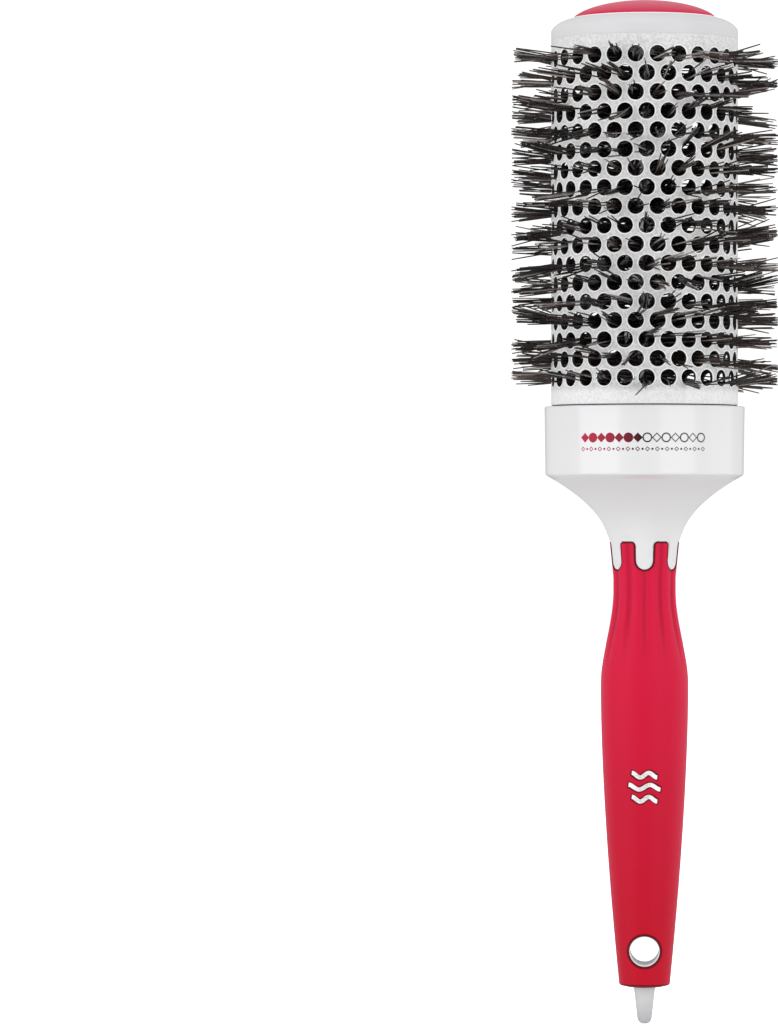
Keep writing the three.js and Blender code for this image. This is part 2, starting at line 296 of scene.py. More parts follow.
class Look(Tree):
    """A material, with a Principled shader to plug things into."""

    def __init__(self, name):
        self.material = bpy.data.materials.new(name)
        super().__init__(self.material)
        self.shader = self.nodes["Principled BSDF"]
        self.place = self.node("TexCoord").outputs["Object"]

    def set(self, **values):
        """Sets the shader's own sockets."""
        for key, value in values.items():
            self.shader.inputs[key.replace("_", " ")].default_value = value

    def noise(self, scale, detail=3.0, roughness=0.5, stretch=(1, 1, 1)):
        """Noise from 0 to 1, with about scale features to the metre."""
        mapping = self.node("Mapping", {"Scale": stretch})
        self.link(self.place, mapping.inputs["Vector"])
        texture = self.node("TexNoise", {"Scale": scale, "Detail": detail, "Roughness": roughness})
        self.link(mapping.outputs["Vector"], texture.inputs["Vector"])
        return texture.outputs["Fac"]

    def ramp(self, source, *stops):
        """A colour ramp with (position, colour) stops."""
        ramp = self.node("ValToRGB")
        elements = ramp.color_ramp.elements
        while len(elements) < len(stops):
            elements.new(0.5)
        for element, (position, colour) in zip(elements, stops):
            element.position = position
            element.color = (*colour, 1)
        self.link(source, ramp.inputs["Fac"])
        return ramp.outputs["Color"]

    def along(self, axis, start, end):
        """A share from 0 to 1 of the way along an axis, between two places in millimetres."""
        split = self.node("SeparateXYZ")
        self.link(self.place, split.inputs["Vector"])
        return self.stretch(split.outputs[axis], start * MM, end * MM)

    def mark(self):
        """The mark that the mesh's points carry, from 0 to 1."""
        return self.node("Attribute", attribute_name="mark").outputs["Fac"]

    def blend(self, share, start, end):
        """From start's colour to the plain colour end. A Mix node's colour sockets are 6, 7 and 2."""
        mix = self.node("Mix", {7: (*end, 1)}, data_type="RGBA")
        self.link(share, mix.inputs["Factor"])
        self.link(start, mix.inputs[6])
        return mix.outputs[2]

    def colour(self, source):
        """Makes source the surface's colour."""
        self.link(source, self.shader.inputs["Base Color"])

    def spread(self, noise, least, most):
        """A noise, which mostly lies between 0.3 and 0.7, stretched to run from least to most."""
        return self.stretch(noise, 0.3, 0.7, least, most)

    def roughness(self, noise, smooth, rough):
        """Makes the surface vary from smooth to rough with a noise."""
        self.link(self.spread(noise, smooth, rough), self.shader.inputs["Roughness"])

    def grained(self, noise, dark, light, smooth, rough):
        """Makes colour and roughness follow one noise."""
        self.colour(self.ramp(noise, (0.3, dark), (0.7, light)))
        self.roughness(noise, smooth, rough)

    def bump(self, source, height):
        """Bumps of a height in millimetres."""
        bump = self.node("Bump", {"Strength": 1, "Distance": height * MM})
        self.link(source, bump.inputs["Height"])
        self.link(bump.outputs["Normal"], self.shader.inputs["Normal"])


def grey(value):
    """A very slightly cool grey."""
    return (value, value, value + 0.01)


def white_plastic(name, dark, light, painted_light_grey, smooth, rough, coat):
    """Injection moulded white with faint flow and orange peel. Where it is marked it takes another grey, as
    painted light: painted shade on the tail tip, a painted highlight on the cap's lip.
    """
    look = Look(name)
    flow = look.noise(60, detail=2, stretch=(1, 1, 0.4))
    white = look.ramp(flow, (0.3, grey(dark)), (0.7, grey(light)))
    # The marked grey is painted light, not a colour of the plastic.
    look.colour(look.blend(look.mark(), white, grey(painted_light_grey)))
    look.roughness(look.noise(700, detail=4), smooth, rough)
    look.bump(look.noise(90, detail=2), 0.004)
    look.set(Coat_Weight=coat, Coat_Roughness=0.08)
    return look.material


def ceramic_coat():
    """Satin ceramic coating with a fine grain. Marks blend it towards near white, as painted light: a painted
    highlight round the vents' edges and a paler plain band below the vents.
    """
    look = Look("ceramic_coat")
    grain = look.noise(1300, detail=6, roughness=0.7)
    web = look.ramp(grain, (0.34, (0.52, 0.52, 0.525)), (0.66, (0.79, 0.79, 0.795)))
    look.colour(look.blend(look.mark(), web, (0.99, 0.99, 0.99)))
    look.roughness(look.noise(500, detail=3), 0.44, 0.54)
    look.bump(grain, 0.012)
    return look.material


def shaded_inside():
    """Dull metal inside the barrel, painted near black as painted shade."""
    look = Look("barrel_inside_shade")
    look.grained(look.noise(220, detail=4), (0.012, 0.012, 0.012), (0.03, 0.03, 0.031), 0.6, 0.85)
    return look.material


def soft_touch(name, heights, lower, upper, edge, sheen):
    """Soft-touch rubber. Its colour shifts from lower to upper between heights, as painted light and shade,
    and to edge on marks, which paints shade along seams and hollows; the silver mark's dark outline takes it
    too.
    """
    look = Look(name)
    body = look.ramp(look.along("Z", *heights), (0.0, lower), (1.0, upper))
    cloud = look.noise(45, detail=3, stretch=(1, 1, 0.5))
    clouded = look.node("HueSaturation")
    look.link(look.spread(cloud, 0.96, 1.03), clouded.inputs["Value"])
    look.link(body, clouded.inputs["Color"])
    look.colour(look.blend(look.mark(), clouded.outputs["Color"], edge))
    skin = look.noise(5200, detail=3)
    look.roughness(skin, 0.46, 0.56)
    look.bump(skin, 0.006)
    look.set(Sheen_Weight=sheen, Sheen_Roughness=0.4, Sheen_Tint=(0.9, 0.36, 0.72, 1))
    look.set(Specular_IOR_Level=0.14)
    return look.material


def nylon():
    """Black-brown nylon filament. Each filament has its own tone, and a few are much paler, as painted
    glints.
    """
    look = Look("nylon")
    tones = look.ramp(
        look.mark(),
        (0.0, (0.004, 0.003, 0.003)),
        (0.5, (0.021, 0.015, 0.013)),
        (0.85, (0.075, 0.052, 0.045)),
        # The top stop is the painted glint colour.
        (1.0, (0.40, 0.36, 0.34)),
    )
    look.colour(tones)
    look.roughness(look.noise(700, detail=2), 0.2, 0.32)
    look.bump(look.noise(2500, detail=2), 0.005)
    look.set(Specular_IOR_Level=0.4)
    return look.material


def drawn_wire():
    """Galvanised wire with fine draw marks."""
    look = Look("drawn_wire")
    marks = look.noise(900, detail=4, stretch=(1, 1, 0.15))
    look.grained(marks, (0.32, 0.32, 0.33), (0.5, 0.5, 0.5), 0.25, 0.5)
    look.bump(marks, 0.01)
    look.set(Metallic=1.0)
    return look.material


def silver_foil():
    """Hot-stamped silver foil, very slightly worn."""
    look = Look("silver_foil")
    wear = look.noise(1600, detail=5)
    look.grained(wear, (0.68, 0.64, 0.65), (0.86, 0.82, 0.83), 0.22, 0.38)
    look.bump(wear, 0.004)
    look.set(Metallic=0.35)
    return look.material


def print_ink():
    """Ink that fades from red on the left to near black and then grey on the right."""
    look = Look("print_ink")
    fade = look.ramp(
        look.along("X", PRINT_MIDDLE - PRINT_HALF_WIDTH, PRINT_MIDDLE + PRINT_HALF_WIDTH),
        (0.04, (0.44, 0.012, 0.05)),
        (0.3, (0.27, 0.008, 0.03)),
        (0.5, (0.012, 0.004, 0.006)),
        (0.62, (0.06, 0.05, 0.055)),
        (1.0, (0.12, 0.085, 0.095)),
    )
    look.colour(fade)
    look.set(Specular_IOR_Level=0.2)
    look.roughness(look.noise(1500, detail=2), 0.3, 0.45)
    return look.material


GLOSS_WHITE = white_plastic("gloss_white", 0.68, 0.71, painted_light_grey=0.43, smooth=0.28, rough=0.34, coat=0.7)
SATIN_WHITE = white_plastic("satin_white", 0.685, 0.715, painted_light_grey=0.44, smooth=0.5, rough=0.6, coat=0.0)
CAP_WHITE = white_plastic("cap_white", 0.585, 0.615, painted_light_grey=0.86, smooth=0.4, rough=0.48, coat=0.05)
CERAMIC = ceramic_coat()
INSIDE_SHADE = shaded_inside()
# The grip's shift from lower to upper, darker towards the bottom, is painted shading. Its edge colour is
# painted shade along the seams, creases, hang hole and heel.
RED_GRIP = soft_touch(
    "red_grip",
    heights=(20, 120),
    lower=(0.48, 0.001, 0.017),
    upper=(0.62, 0.005, 0.047),
    edge=(0.13, 0.0, 0.002),
    sheen=0.18,
)
# The dome's upper colour, paler and greyer at its top, is a painted highlight. Its edge colour is painted
# shade at its foot.
RED_DOME = soft_touch(
    "red_dome",
    heights=(CAP_RIM_Z, DOME_TOP_Z),
    lower=(0.54, 0.012, 0.06),
    upper=(0.63, 0.15, 0.2),
    edge=(0.12, 0.002, 0.012),
    sheen=0.0,
)
NYLON = nylon()
WIRE = drawn_wire()
SILVER = silver_foil()
INK = print_ink()


# ---- The barrel and its vents ----

CELL_ACROSS = 10
CELL_UP = 6
EVEN_SHARE = 0.65  # how evenly the points stand round a vent
RAY_TIP_SHARE = 0.999  # corners beyond this share of a row's radius are its rays' tips
VENT_BEVEL = 0.12
# The pale rim round each vent is a painted highlight.
HIGHLIGHT_RIM_WIDTH = 0.25  # the pale edge round each vent, bevel included
HIGHLIGHT_RIM_FADE = 0.07
# The plain band below the vents is painted paler than the web and the top band, as painted light.
PLAIN_BAND_LIGHT = 0.4
PLAIN_BAND_FADE = 1.2
CRIMP_GAP = 0.05
CRIMP_HEIGHT = 0.34
CRIMP_DEPTH = 0.3
END_BEVEL = 0.08
TOP_BEVEL = END_BEVEL / 4
TOP_GAP = 0.02
TUBE_STEPS = 4


def vent_angles(node):
    """The angles of a row's vents, from the tips of its CAD rays, which are evenly spread."""
    corners = np.array([v.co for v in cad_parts[node].data.vertices], float)
    radii = np.hypot(corners[:, 0], corners[:, 1])
    tips = corners[radii > RAY_TIP_SHARE * radii.max()]
    angles = np.arctan2(tips[:, 0], -tips[:, 1])
    first = np.angle(np.mean(np.exp(1j * VENTS * angles))) / VENTS
    return first + np.arange(VENTS) * VENT_STEP


ROW_ANGLES = [vent_angles(name) for name in ROW_NODES]


def cell_border(row_z):
    """The border of a vent's cell as (angle, height) offsets, once round from its lower left corner."""
    half = VENT_STEP / 2
    across = np.linspace(-half, half, CELL_ACROSS + 1)
    up = np.linspace(-ROW_PITCH / 2, ROW_PITCH / 2, CELL_UP + 1)
    border = [(a, up[0]) for a in across[:-1]]
    border += [(half, z) for z in up[:-1]]
    border += [(a, up[-1]) for a in across[:0:-1]]
    border += [(-half, z) for z in up[:0:-1]]
    return np.array(border) + (0, row_z)


def vent_ring(border, row_z, radius):
    """A circle round the vent's centre, with its points roughly in line with the border's."""
    bearing = np.unwrap(np.arctan2(border[:, 1] - row_z, border[:, 0] * BARREL_RADIUS))
    even = bearing[0] + even_angles(len(bearing))
    bearing = (1 - EVEN_SHARE) * bearing + EVEN_SHARE * even
    return np.stack([radius * np.cos(bearing) / BARREL_RADIUS, row_z + radius * np.sin(bearing)], axis=1)


def vented_rows(tube):
    """The barrel's wall where the vents are, one cell for each vent."""
    for row_z, angles in zip(ROW_HEIGHTS, ROW_ANGLES):
        border = cell_border(row_z)
        mouth = vent_ring(border, row_z, VENT_RADIUS)
        steps = (
            # Mark 1 paints a highlight round each vent's edge.
            (vent_ring(border, row_z, VENT_RADIUS + HIGHLIGHT_RIM_WIDTH + HIGHLIGHT_RIM_FADE), BARREL_RADIUS, 0.0, 0),
            (vent_ring(border, row_z, VENT_RADIUS + HIGHLIGHT_RIM_WIDTH), BARREL_RADIUS, 1.0, 0),
            (vent_ring(border, row_z, VENT_RADIUS + VENT_BEVEL), BARREL_RADIUS, 1.0, 0),
            (mouth, BARREL_RADIUS - VENT_BEVEL, 1.0, 0),
            # Material 1 paints the vent walls and the inside near black, as painted shade.
            (mouth, BARREL_INSIDE, 0.0, 1),
            (border, BARREL_INSIDE, 0.0, 1),
        )
        for angle in angles:
            turn = (angle, 0)
            last = tube.loop(polar(BARREL_RADIUS, *(border + turn).T))
            for ring, radius, mark, material in steps:
                last = tube.extend(last, polar(radius, *(ring + turn).T), mark, material)


def barrel_end(tube, row, outside, mark, groove=None):
    """The plain tube past the last vents, with outside as its profile. The step to point groove takes the
    near-black inside material, as painted shade in the crimp.
    """
    angles = ROW_ANGLES[row][0] + VENT_STEP / CELL_ACROSS * (np.arange(VENTS * CELL_ACROSS) + CELL_ACROSS / 2)
    away = math.copysign(1, outside[-1][1] - ROW_HEIGHTS[row])
    start = ROW_HEIGHTS[row] + away * ROW_PITCH / 2
    edge = tube.loop(polar(BARREL_RADIUS, angles, start))
    last = tube.extend(edge, polar(BARREL_RADIUS, angles, start + away * PLAIN_BAND_FADE), mark)
    for step, (radius, z) in enumerate(outside):
        last = tube.extend(last, polar(radius, angles, z), mark, int(step == groove))
    heights = np.linspace(outside[-1][1], start, TUBE_STEPS)
    inner = tube.loft([polar(BARREL_INSIDE, angles, z) for z in heights], material=1)
    tube.bridge(last, inner[0])


def barrel_tube():
    """The perforated tube, crimped in just above the collar, with a small bevel at each end."""
    tube = Builder()
    vented_rows(tube)
    crimp_low = COLLAR_TOP_Z + CRIMP_GAP
    crimp_high = crimp_low + CRIMP_HEIGHT
    low_end = [
        (BARREL_RADIUS, crimp_high),
        (BARREL_RADIUS - CRIMP_DEPTH, crimp_high - END_BEVEL),
        (BARREL_RADIUS - CRIMP_DEPTH, crimp_low),
        (BARREL_RADIUS, crimp_low),
        (BARREL_RADIUS, low("barrel").z + END_BEVEL),
        (BARREL_RADIUS - END_BEVEL, low("barrel").z),
    ]
    top = CAP_SEAM_Z - TOP_GAP
    top_end = [(BARREL_RADIUS, top - TOP_BEVEL), (BARREL_RADIUS - TOP_BEVEL, top)]
    barrel_end(tube, 0, low_end, PLAIN_BAND_LIGHT, groove=2)
    barrel_end(tube, -1, top_end, 0)
    make_piece("barrel_tube", tube, [CERAMIC, INSIDE_SHADE], ["barrel"])


# ---- Filaments ----

FILAMENT_RADIUS = 0.2
FILAMENT_SIDES = 6
FILAMENT_TIP = 0.8  # the share of the radius that is left at the tip
FILAMENT_SEED = 7
WIRE_GRIP_RADIUS = 1.6
PATH_MIDDLE = 0.6
OUTSIDE_POINTS = 4
FEWEST_IN_VENT = 2
MOST_IN_VENT = 10
VENT_CLEARANCE = 0.1
ROOM_IN_VENT = VENT_RADIUS - FILAMENT_RADIUS - VENT_CLEARANCE
SHORT_SHARE = 0.14
SHORT_BY = (0.8, 4.5)
TIP_WEAR = 0.25
MOST_TIP_WEAR = 1
GLINT_SHARE = 0.15
GLINT_TONES = (0.9, 1)
TUFT_TONES = (0.1, 0.75)
TONE_CHANGES = (-0.1, 0.15)

# A row's tufts drift together, each tuft adds its own scatter and each filament its own to that.
# One filament in four strays further.
UPWARD_TILT = 0.03
DRIFT_WAVES = 5
DRIFT_TILT = 0.1
DRIFT_LEAN = 0.13
DRIFT_UP = 0.8
TUFT_TILT = 0.04
TUFT_LEAN = 0.06
TUFT_ASIDE = 0.5
TUFT_UP = 0.35
FILAMENT_ASIDE = 0.55
FILAMENT_SLANT = 0.035
STRAYING = (1, 1, 1, 3)

WIRE_RADIUS = 0.98
WIRE_HELIX_RADIUS = 1.0
WIRE_PITCH = 16.0
WIRE_END_GAP = 1.0
WIRE_SIDES = 12
WIRE_STEPS = 260


def wave_round(random, size):
    """A random wave round the barrel, about -size to size, that meets itself."""
    turns = np.arange(DRIFT_WAVES)
    waves = random.normal(0, size / math.sqrt(len(turns)), (2, len(turns)))
    return lambda angle: float(waves[0] @ np.cos(turns * angle) + waves[1] @ np.sin(turns * angle))


def filament_path(angle, row_z, across, up, tilt, lean, tip):
    """A filament's centre line, from the wire through its place in the vent and on to its tip.

    tilt is its slope upwards and lean its slope round the barrel, both per millimetre outwards.
    """
    beyond = np.linspace(BARREL_RADIUS, tip, OUTSIDE_POINTS)
    radii = np.array([WIRE_GRIP_RADIUS, PATH_MIDDLE * BARREL_INSIDE, BARREL_INSIDE, *beyond])
    inside = (np.minimum(radii, BARREL_INSIDE) - WIRE_GRIP_RADIUS) / (BARREL_INSIDE - WIRE_GRIP_RADIUS)
    outside = np.clip(radii - BARREL_INSIDE, 0, None)
    sideways = across * inside + lean * outside
    upwards = up + tilt * (radii - BARREL_INSIDE)
    outwards = np.array([math.sin(angle), -math.cos(angle), 0])
    around = np.array([math.cos(angle), math.sin(angle), 0])
    path = radii[:, None] * outwards + sideways[:, None] * around
    path[:, 2] = row_z + upwards
    over = np.hypot(path[-1, 0], path[-1, 1]) / (BRISTLE_RADIUS - FILAMENT_RADIUS)
    path[:, :2] /= max(1, over)
    return path


def tube_rings(path, sizes, sides):
    """Rings of points round a path."""
    along = np.gradient(path, axis=0)
    along /= np.linalg.norm(along, axis=1)[:, None]
    side = np.cross(along, (0, 0, 1))
    side /= np.linalg.norm(side, axis=1)[:, None]
    other = np.cross(along, side)
    angles = even_angles(sides)
    ring = np.cos(angles)[:, None, None] * side + np.sin(angles)[:, None, None] * other
    return path[:, None, :] + (ring * sizes[:, None]).transpose(1, 0, 2)


def tuft(row, random, angle, row_z, tilt, lean, up):
    """The filaments of one vent: nearly parallel, bunched in one part of it, with a few strays."""
    centre = np.array([random.normal(0, TUFT_ASIDE), up + random.normal(0, TUFT_UP)])
    tone = random.uniform(*TUFT_TONES)
    for _ in range(random.integers(FEWEST_IN_VENT, MOST_IN_VENT + 1)):
        spot = centre + random.normal(0, FILAMENT_ASIDE, 2)
        spot /= max(1, math.hypot(*spot) / ROOM_IN_VENT)
        stray = random.choice(STRAYING)
        slant = random.normal(0, FILAMENT_SLANT, 2) * stray
        tip = BRISTLE_RADIUS - min(random.exponential(TIP_WEAR), MOST_TIP_WEAR)
        if random.uniform() < SHORT_SHARE:
            tip -= random.uniform(*SHORT_BY)
        path = filament_path(angle, row_z, *spot, tilt + slant[0], lean + slant[1], tip)
        sizes = np.full(len(path), FILAMENT_RADIUS)
        sizes[-1] *= FILAMENT_TIP
        # A few filaments are painted pale, as painted glints.
        pale = random.uniform() < GLINT_SHARE
        mark = random.uniform(*GLINT_TONES) if pale else tone + random.uniform(*TONE_CHANGES)
        row.loft(tube_rings(path, sizes, FILAMENT_SIDES), mark=mark, cap_start=True, cap_end=True)


def bristle_rows():
    """One piece for each row of vents, with the filaments that leave through it."""
    random = np.random.default_rng(FILAMENT_SEED)
    for node, row_z, angles in zip(ROW_NODES, ROW_HEIGHTS, ROW_ANGLES):
        drift_tilt = wave_round(random, DRIFT_TILT)
        drift_lean = wave_round(random, DRIFT_LEAN)
        drift_up = wave_round(random, DRIFT_UP)
        row = Builder()
        for angle in angles:
            tilt = UPWARD_TILT + drift_tilt(angle) + random.normal(0, TUFT_TILT)
            lean = drift_lean(angle) + random.normal(0, TUFT_LEAN)
            tuft(row, random, angle, row_z, tilt, lean, drift_up(angle))
        make_piece(node + "_filaments", row, [NYLON], [node], smooth_angle=75)


def stem_wires():
    """Two strands of wire, twisted round each other."""
    bottom = low("stem_wire_a").z + WIRE_END_GAP
    heights = np.linspace(bottom, high("stem_wire_a").z - WIRE_END_GAP, WIRE_STEPS)
    for name, start in (("stem_wire_a", 0), ("stem_wire_b", math.pi)):
        path = polar(WIRE_HELIX_RADIUS, start + (heights - bottom) / WIRE_PITCH * TURN, heights)
        rings = tube_rings(path, np.full(WIRE_STEPS, WIRE_RADIUS), WIRE_SIDES)
        strand = Builder()
        strand.loft(rings, cap_start=True, cap_end=True)
        make_piece(name + "_strand", strand, [WIRE], [name])


# ---- End cap and dome ----

CAP_SHOULDER_HEIGHT = 3.2
CAP_SHOULDER_POWER = 1.6
CAP_LIP_WIDTH = 0.5
CAP_LIP_HEIGHT = 0.28
CAP_LIP_ROUNDING = 0.15
CAP_SEAT_DEPTH = 2.9
CAP_PLUG_THICKNESS = 1.4
CAP_PLUG_GAP = 0.1
DOME_GAP = 0.18
FOOT_BEVEL = 0.3
CROWN_STEPS = 28


def end_cap():
    """The white cap: a plug in the barrel, a rounded shoulder and a thin pale lip round the dome, whose
    paleness is a painted highlight.
    """
    bottom = low("end_cap").z
    plug = BARREL_INSIDE - CAP_PLUG_GAP
    rim = DOME_RADIUS + DOME_GAP
    shoulder = (BARREL_RADIUS, CAP_RIM_Z - CAP_LIP_HEIGHT)
    across = rim + CAP_LIP_WIDTH - BARREL_RADIUS
    shell_profile = [
        (STEM_BORE, high("stem_wire_a").z),
        (STEM_BORE, bottom),
        (STEM_BOSS, bottom),
        (STEM_BOSS, bottom + CAP_PLUG_THICKNESS),
        (plug, bottom + CAP_PLUG_THICKNESS),
        (plug, CAP_SEAM_Z),
        (BARREL_RADIUS, CAP_SEAM_Z),
        *rounded_corner(shoulder, across, -CAP_SHOULDER_HEIGHT, CAP_SHOULDER_POWER, 14),
    ]
    lip_corner = (rim + CAP_LIP_WIDTH - CAP_LIP_ROUNDING / 2, CAP_RIM_Z)
    lip_profile = [
        *rounded_corner(lip_corner, -CAP_LIP_ROUNDING, -CAP_LIP_ROUNDING, 2, 4),
        (rim, CAP_RIM_Z),
        (rim, CAP_RIM_Z - CAP_SEAT_DEPTH),
    ]
    cap = Builder()
    shell = cap.loft(lathe_rings(shell_profile), cap_start=True)
    # The lip's mark paints a highlight on it.
    lip = cap.loft(lathe_rings(lip_profile), mark=1.0, cap_end=True)
    cap.bridge(shell[-1], lip[0])
    make_piece("end_cap_shell", cap, [CAP_WHITE], ["end_cap"])


def dome():
    """The red dome. Its colour darkens at its foot, where it meets the cap, as painted shade."""
    angles = np.linspace(0, math.pi / 2, CROWN_STEPS + 1)[1:-1]
    rises = np.sin(angles) ** (2 * DOME_FULLNESS)
    crown = list(zip(DOME_RADIUS * np.cos(angles), CAP_RIM_Z + (DOME_TOP_Z - CAP_RIM_Z) * rises))
    bottom = low("cap_dome").z
    foot = [(DOME_RADIUS - FOOT_BEVEL, bottom), (DOME_RADIUS, bottom + FOOT_BEVEL), (DOME_RADIUS, CAP_RIM_Z)]
    shell = Builder()
    # The foot's mark paints shade where the dome meets the cap.
    foot_loops = shell.loft(lathe_rings(foot), mark=1.0, cap_start=True)
    loops = shell.loft(lathe_rings(crown))
    shell.bridge(foot_loops[-1], loops[0])
    peak = shell.loop([(0, 0, DOME_TOP_Z)])
    for i in range(LATHE_SEGMENTS):
        shell.face([loops[-1][i], loops[-1][(i + 1) % LATHE_SEGMENTS], peak[0]])
    make_piece("dome_shell", shell, [RED_DOME], ["cap_dome"])


# ---- Handle ----

# Half of one of the six repeats round the handle has this many columns. The seam shares them out.
HALF_COLUMNS = 22
FINGER_TIP_STEPS = 7
FINGER_SIDE_STEPS = 6
TAB_CORNER_STEPS = 5
TAB_TOP_STEPS = HALF_COLUMNS - FINGER_TIP_STEPS - FINGER_SIDE_STEPS - TAB_CORNER_STEPS
CREASE_DEPTH = 0.6
CREASE_LOBES = 0.35  # the share of the depth that is in the broad lobes
CREASE_SHARPNESS = 6
# The grip's marks are painted shade: dark bands along the seam, round the hang hole and under the heel, and
# dark lines in the creases.
CREASE_SHADE = 0.26
CREASE_BOTTOM_Z = 93
CREASE_FULL_Z = 109
SHADE_BAND_WIDTH = 0.34  # the darkened band along the grip's edges
HANG_SHADE_WIDTH = 0.6  # and round the hang hole
SHADE_FADE = 0.14
EDGE_ROUNDING = 0.1
EDGE_DEPTH = 0.3
STRAIGHT_TOP_Z = 112.0
SEAM_LOOPS = 16  # between the seam and the straight rows
STRAIGHT_ROWS = 61
HEEL_RADIUS = 0.7
HEEL_RISE = 0.5
HEEL_FLAT = 1.6
HEEL_DISH = 0.12
TIP_SOCKET = 3.0
SOCKET_TOP_Z = 11.4
CORE_GAP = 0.3  # between the grip and the stem in it
TIP_ROOT = 2.93
TIP_END = 1.97
TIP_ROUNDING = 1.75
# How far the tip's root is painted darker, as painted shade under the grip.
TIP_ROOT_SHADE = 0.1


def outline(z):
    """The handle's outer radius at height z."""
    z = np.asarray(z, float)
    taper = SWELL_RADIUS - TAPER_RATE * np.clip(SWELL_Z - z, 0, None) ** TAPER_POWER
    shoulder = (NECK_RADIUS - SWELL_RADIUS) * smoothstep(z, SHOULDER_Z, NECK_BOTTOM_Z)
    flare = FLARE_SLOPE * np.clip(z - NECK_TOP_Z, 0, None)
    trumpet = TRUMPET_RATE * np.clip(z - TRUMPET_BOTTOM_Z, 0, None) ** TRUMPET_POWER
    return taper + shoulder + flare + trumpet


def crease(angle, z):
    """1 in a crease and 0 between. One runs down each tab and below each finger, fading down the neck."""
    closeness = (1 + np.cos(2 * FINGERS * angle)) / 2
    depth = CREASE_LOBES * closeness + (1 - CREASE_LOBES) * closeness**CREASE_SHARPNESS
    return depth * smoothstep(z, CREASE_BOTTOM_Z, CREASE_FULL_Z)


def seam_half():
    """Half a period of the seam, from the middle of a finger's tip to the middle of a tab's top."""
    r, t = FINGER_HALF_WIDTH, TAB_CORNER
    side_low, side_high = FINGER_BOTTOM_Z + r, TAB_TOP_Z - t
    tip = arc((0, side_low), r, -90, 0, FINGER_TIP_STEPS)
    side = [(r, z) for z in np.linspace(side_low, side_high, FINGER_SIDE_STEPS + 1)[1:]]
    corner = arc((r + t, side_high), t, 180, 90, TAB_CORNER_STEPS)[1:]
    middle = math.pi / FINGERS * SEAM_RADIUS
    top = [(u, TAB_TOP_Z) for u in np.linspace(r + t, middle, TAB_TOP_STEPS + 1)[1:]]
    return np.array(tip + side + corner + top)


def all_round(half):
    """The angles of half a period, mirrored into a whole one and repeated round the handle."""
    period = TURN / FINGERS
    whole = np.concatenate([half, period - half[-2:0:-1]])
    return np.concatenate([whole + i * period for i in range(FINGERS)])


def seam_curve(offset):
    """The whole seam as angles and heights, moved by offset towards the core, or the grip if negative."""
    half = seam_half()
    slope = np.gradient(half, axis=0)
    slope /= np.linalg.norm(slope, axis=1)[:, None]
    normal = np.stack([-slope[:, 1], slope[:, 0]], axis=1)
    normal[0] = normal[-1] = (0, 1)
    across, heights = (half + offset * normal).T
    return all_round(across / SEAM_RADIUS), np.tile([*heights, *heights[-2:0:-1]], FINGERS)


def column_angles():
    """The angles of the handle's columns where they run straight, closer together at the creases."""
    share = np.arange(HALF_COLUMNS + 1) / HALF_COLUMNS
    eased = (1 - np.cos(math.pi * share)) / 2
    return all_round(math.pi / FINGERS * (share + eased) / 2)


COLUMNS = column_angles()


def level(z):
    """A straight row across the handle's columns."""
    return COLUMNS, np.full(len(COLUMNS), float(z))


def between(start, end, steps):
    """Loops of angles and heights that lead from one loop to another, without the first."""
    shares = np.linspace(0, 1, steps + 1)[1:]
    return [tuple((1 - t) * a + t * b for a, b in zip(start, end)) for t in shares]


def grip_ring(angles, heights, inset=0.0):
    """Points on the grip's skin, creases and all, moved in by inset."""
    return polar(outline(heights) - CREASE_DEPTH * crease(angles, heights) - inset, angles, heights)


def core_ring(angles, heights, inset=0.0):
    """Points on the core's skin, moved in by inset."""
    return polar(outline(heights) - inset, angles, heights)


# The grip's columns and rows leave a gap round each end of the hang hole, which a patch fills.
PATCH_TOP_Z = 29.5
PATCH_BOTTOM_Z = 12.0
PATCH_ROWS = 12
PATCH_LOOPS = 6
PATCH_COLUMNS = 2 * HALF_COLUMNS


def hang_ring(bearings, radius, depth):
    """A circle round the hang hole, as angles and heights at a depth below the front of the grip."""
    across = radius * np.sin(bearings)
    heights = HANG_Z + radius * np.cos(bearings)
    return np.arcsin(across / (outline(heights) - depth)), heights


def patch_border(rows, behind):
    """The points of the skin's rows that lie along the border of a gap, once round."""
    n = len(COLUMNS)
    first = (n // 2 if behind else 0) - PATCH_COLUMNS
    picks = [(first + i) % n for i in range(2 * PATCH_COLUMNS + 1)]
    right = [row[picks[-1]] for row in rows[1:-1]]
    left = [row[picks[0]] for row in rows[-2:0:-1]]
    return np.array([*rows[0][picks], *right, *rows[-1][picks[::-1]], *left])


def hang_patch(grip, rows, inset, edge, behind):
    """The skin from a gap's border to the hang hole. edge is the last circles' (radius, depth, mark)."""
    last = patch_border(rows, behind)
    points = np.concatenate(grip.points)[last]
    turn = math.pi if behind else 0
    angles = np.arctan2(points[:, 0], -points[:, 1]) - turn
    angles = np.mod(angles + math.pi, TURN) - math.pi
    heights = points[:, 2]
    bearings = np.arctan2(outline(heights) * np.sin(angles), heights - HANG_Z)
    near = hang_ring(bearings, HANG_OPENING + 2 * HANG_SHADE_WIDTH, inset)
    steps = [(*loop, inset, 0.0) for loop in between((angles, heights), near, PATCH_LOOPS)]
    steps += [(*hang_ring(bearings, radius, depth), depth, mark) for radius, depth, mark in edge]
    for loop_angles, loop_heights, depth, mark in steps:
        last = grip.extend(last, grip_ring(loop_angles + turn, loop_heights, depth), mark)
    return last


def within_patch(heights):
    """Whether a row lies within the patches' heights."""
    slack = 1e-6
    return PATCH_BOTTOM_Z - slack <= heights.min() and heights.max() <= PATCH_TOP_Z + slack


